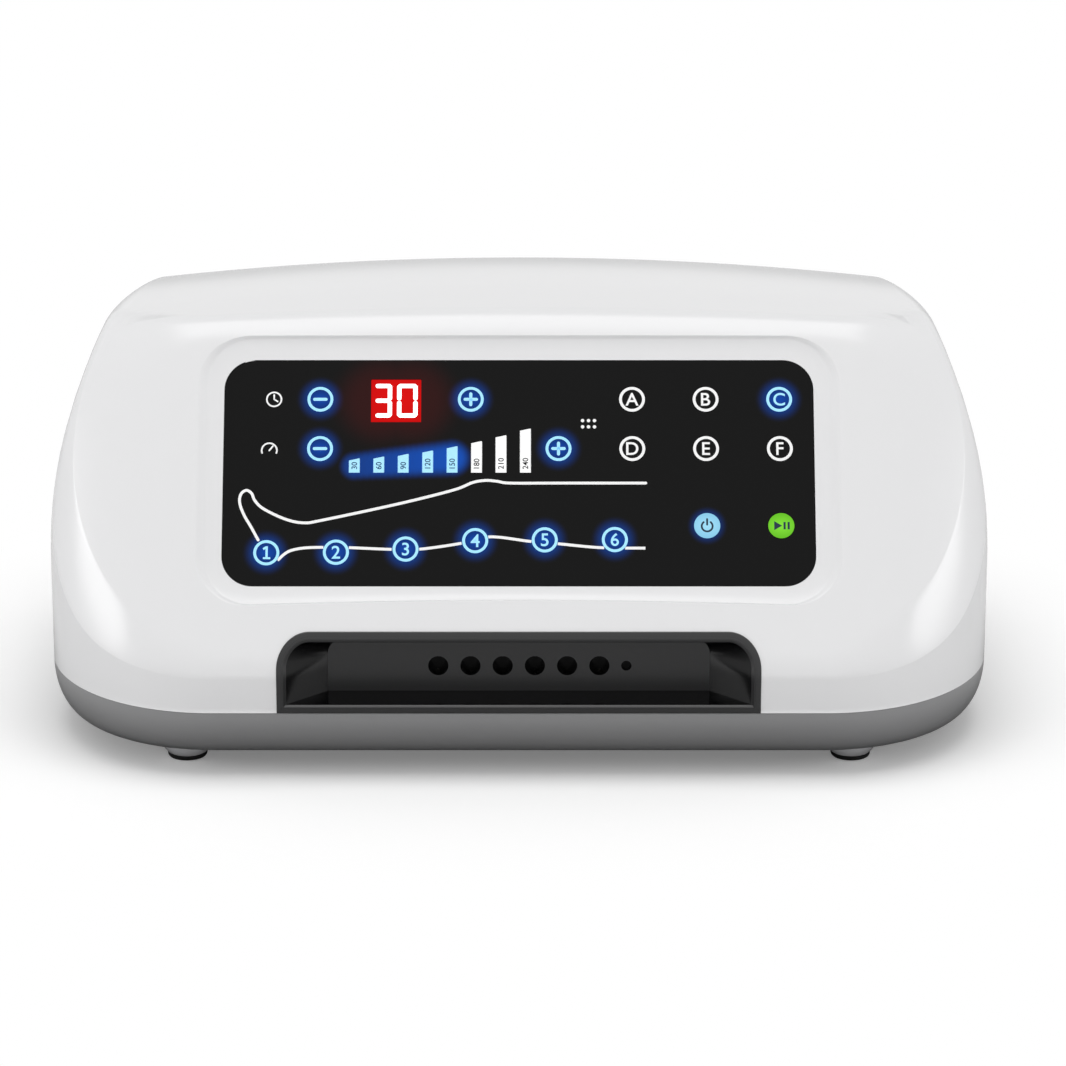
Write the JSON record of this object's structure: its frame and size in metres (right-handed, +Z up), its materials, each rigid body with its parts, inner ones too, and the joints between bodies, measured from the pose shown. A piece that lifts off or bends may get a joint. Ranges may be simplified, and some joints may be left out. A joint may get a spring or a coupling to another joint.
{
  "type": "compression therapy pump",
  "caption": "Table-top air pump for compression therapy: white wedge-shaped case on a grey tray, sloped black key panel, and a front bay of hose ports.",
  "frame": {"origin": "middle of the footprint, on the table", "axes": "+Z up, -Y is the front with the key panel and the air ports, +X is the user's right"},
  "size_m": [0.352, 0.2092, 0.157],
  "materials": {
    "white_abs": "glossy moulded ABS",
    "grey_abs": "satin moulded ABS",
    "black_abs": "satin moulded ABS",
    "black_panel": "smooth polycarbonate overlay",
    "key_plastic": "smooth polycarbonate",
    "red_lens": "lit red display window",
    "bar_lens": "light guides",
    "circuit_board": "solder mask",
    "foot_plastic": "glossy grey",
    "black_rubber": "matt",
    "screw_steel": "zinc plated",
    "steel": "ground",
    "rocker_plastic": "glossy",
    "pump_iron": "varnished laminations",
    "head_casting": "glass-filled nylon",
    "filter_plastic": "satin",
    "ivory_plastic": "acetal",
    "coil_wrap": "taped winding",
    "hose_silicone": "soft silicone tube"
  },
  "bodies": {
    "case": {"upper_cover": "white_abs", "base_tray": "grey_abs", "port_bay": "black_abs", "key_overlay": "black_panel", "time_display": "red_lens", "bar_display": "bar_lens", "key_board": "circuit_board", "feet": "foot_plastic", "foot_pads": "black_rubber", "case_screws": "screw_steel", "mains_inlet": "black_abs", "fuse_holder": "black_abs", "switch_frame": "black_abs", "fan_grille": "black_abs", "fan_frame": "black_abs", "pump_body": "pump_iron", "pump_heads": "head_casting", "pump_mounts": "black_rubber", "air_filter": "filter_plastic", "valve_manifold": "ivory_plastic", "valve_coils": "coil_wrap", "port_hoses": "hose_silicone", "supply_hose": "hose_silicone", "main_board": "circuit_board", "pressure_sensor": "ivory_plastic", "transformer": "pump_iron"},
    "time_down_key": {"time_down_key": "key_plastic"},
    "time_up_key": {"time_up_key": "key_plastic"},
    "pressure_down_key": {"pressure_down_key": "key_plastic"},
    "pressure_up_key": {"pressure_up_key": "key_plastic"},
    "mode_a_key": {"mode_a_key": "key_plastic"},
    "mode_b_key": {"mode_b_key": "key_plastic"},
    "mode_c_key": {"mode_c_key": "key_plastic"},
    "mode_d_key": {"mode_d_key": "key_plastic"},
    "mode_e_key": {"mode_e_key": "key_plastic"},
    "mode_f_key": {"mode_f_key": "key_plastic"},
    "position_1_key": {"position_1_key": "key_plastic"},
    "position_2_key": {"position_2_key": "key_plastic"},
    "position_3_key": {"position_3_key": "key_plastic"},
    "position_4_key": {"position_4_key": "key_plastic"},
    "position_5_key": {"position_5_key": "key_plastic"},
    "position_6_key": {"position_6_key": "key_plastic"},
    "power_key": {"power_key": "key_plastic"},
    "play_key": {"play_key": "key_plastic"},
    "power_rocker": {"power_rocker": "rocker_plastic"},
    "fan_rotor": {"fan_rotor": "black_abs"},
    "pump_armature": {"pump_armature": "steel"},
    "valve_plunger_1": {"valve_plunger_1": "steel"},
    "valve_plunger_2": {"valve_plunger_2": "steel"},
    "valve_plunger_3": {"valve_plunger_3": "steel"},
    "valve_plunger_4": {"valve_plunger_4": "steel"},
    "valve_plunger_5": {"valve_plunger_5": "steel"},
    "valve_plunger_6": {"valve_plunger_6": "steel"}
  },
  "joints": [
    {"name": "time_down_press", "type": "slide", "parent": "case", "child": "time_down_key", "axis": [0, 0.8339, -0.5519], "range_m": [0, 0.0004], "stiffness_N_per_m": 2500, "springref_m": -0.0003},
    {"name": "time_up_press", "type": "slide", "parent": "case", "child": "time_up_key", "axis": [0, 0.8339, -0.5519], "range_m": [0, 0.0004], "stiffness_N_per_m": 2500, "springref_m": -0.0003},
    {"name": "pressure_down_press", "type": "slide", "parent": "case", "child": "pressure_down_key", "axis": [0, 0.8339, -0.5519], "range_m": [0, 0.0004], "stiffness_N_per_m": 2500, "springref_m": -0.0003},
    {"name": "pressure_up_press", "type": "slide", "parent": "case", "child": "pressure_up_key", "axis": [0, 0.8339, -0.5519], "range_m": [0, 0.0004], "stiffness_N_per_m": 2500, "springref_m": -0.0003},
    {"name": "mode_a_press", "type": "slide", "parent": "case", "child": "mode_a_key", "axis": [0, 0.8339, -0.5519], "range_m": [0, 0.0004], "stiffness_N_per_m": 2500, "springref_m": -0.0003},
    {"name": "mode_b_press", "type": "slide", "parent": "case", "child": "mode_b_key", "axis": [0, 0.8339, -0.5519], "range_m": [0, 0.0004], "stiffness_N_per_m": 2500, "springref_m": -0.0003},
    {"name": "mode_c_press", "type": "slide", "parent": "case", "child": "mode_c_key", "axis": [0, 0.8339, -0.5519], "range_m": [0, 0.0004], "stiffness_N_per_m": 2500, "springref_m": -0.0003},
    {"name": "mode_d_press", "type": "slide", "parent": "case", "child": "mode_d_key", "axis": [0, 0.8339, -0.5519], "range_m": [0, 0.0004], "stiffness_N_per_m": 2500, "springref_m": -0.0003},
    {"name": "mode_e_press", "type": "slide", "parent": "case", "child": "mode_e_key", "axis": [0, 0.8339, -0.5519], "range_m": [0, 0.0004], "stiffness_N_per_m": 2500, "springref_m": -0.0003},
    {"name": "mode_f_press", "type": "slide", "parent": "case", "child": "mode_f_key", "axis": [0, 0.8339, -0.5519], "range_m": [0, 0.0004], "stiffness_N_per_m": 2500, "springref_m": -0.0003},
    {"name": "position_1_press", "type": "slide", "parent": "case", "child": "position_1_key", "axis": [0, 0.8339, -0.5519], "range_m": [0, 0.0004], "stiffness_N_per_m": 2500, "springref_m": -0.0003},
    {"name": "position_2_press", "type": "slide", "parent": "case", "child": "position_2_key", "axis": [0, 0.8339, -0.5519], "range_m": [0, 0.0004], "stiffness_N_per_m": 2500, "springref_m": -0.0003},
    {"name": "position_3_press", "type": "slide", "parent": "case", "child": "position_3_key", "axis": [0, 0.8339, -0.5519], "range_m": [0, 0.0004], "stiffness_N_per_m": 2500, "springref_m": -0.0003},
    {"name": "position_4_press", "type": "slide", "parent": "case", "child": "position_4_key", "axis": [0, 0.8339, -0.5519], "range_m": [0, 0.0004], "stiffness_N_per_m": 2500, "springref_m": -0.0003},
    {"name": "position_5_press", "type": "slide", "parent": "case", "child": "position_5_key", "axis": [0, 0.8339, -0.5519], "range_m": [0, 0.0004], "stiffness_N_per_m": 2500, "springref_m": -0.0003},
    {"name": "position_6_press", "type": "slide", "parent": "case", "child": "position_6_key", "axis": [0, 0.8339, -0.5519], "range_m": [0, 0.0004], "stiffness_N_per_m": 2500, "springref_m": -0.0003},
    {"name": "power_press", "type": "slide", "parent": "case", "child": "power_key", "axis": [0, 0.8339, -0.5519], "range_m": [0, 0.0004], "stiffness_N_per_m": 2500, "springref_m": -0.0003},
    {"name": "play_press", "type": "slide", "parent": "case", "child": "play_key", "axis": [0, 0.8339, -0.5519], "range_m": [0, 0.0004], "stiffness_N_per_m": 2500, "springref_m": -0.0003},
    {"name": "power_switch_tip", "type": "hinge", "parent": "case", "child": "power_rocker", "pos_m": [0.074, 0.09995, 0.062], "axis": [1, 0, 0], "range_deg": [-8, 8]},
    {"name": "fan_spin", "type": "hinge", "parent": "case", "child": "fan_rotor", "pos_m": [-0.112, 0.08615, 0.084], "axis": [0, 1, 0], "continuous": true},
    {"name": "armature_stroke", "type": "slide", "parent": "case", "child": "pump_armature", "axis": [1, 0, 0], "range_m": [-0.0015, 0.0015], "stiffness_N_per_m": 2500},
    {"name": "valve_1_lift", "type": "slide", "parent": "case", "child": "valve_plunger_1", "axis": [0, 0, 1], "range_m": [0, 0.002], "stiffness_N_per_m": 300, "springref_m": -0.003},
    {"name": "valve_2_lift", "type": "slide", "parent": "case", "child": "valve_plunger_2", "axis": [0, 0, 1], "range_m": [0, 0.002], "stiffness_N_per_m": 300, "springref_m": -0.003},
    {"name": "valve_3_lift", "type": "slide", "parent": "case", "child": "valve_plunger_3", "axis": [0, 0, 1], "range_m": [0, 0.002], "stiffness_N_per_m": 300, "springref_m": -0.003},
    {"name": "valve_4_lift", "type": "slide", "parent": "case", "child": "valve_plunger_4", "axis": [0, 0, 1], "range_m": [0, 0.002], "stiffness_N_per_m": 300, "springref_m": -0.003},
    {"name": "valve_5_lift", "type": "slide", "parent": "case", "child": "valve_plunger_5", "axis": [0, 0, 1], "range_m": [0, 0.002], "stiffness_N_per_m": 300, "springref_m": -0.003},
    {"name": "valve_6_lift", "type": "slide", "parent": "case", "child": "valve_plunger_6", "axis": [0, 0, 1], "range_m": [0, 0.002], "stiffness_N_per_m": 300, "springref_m": -0.003}
  ]
}
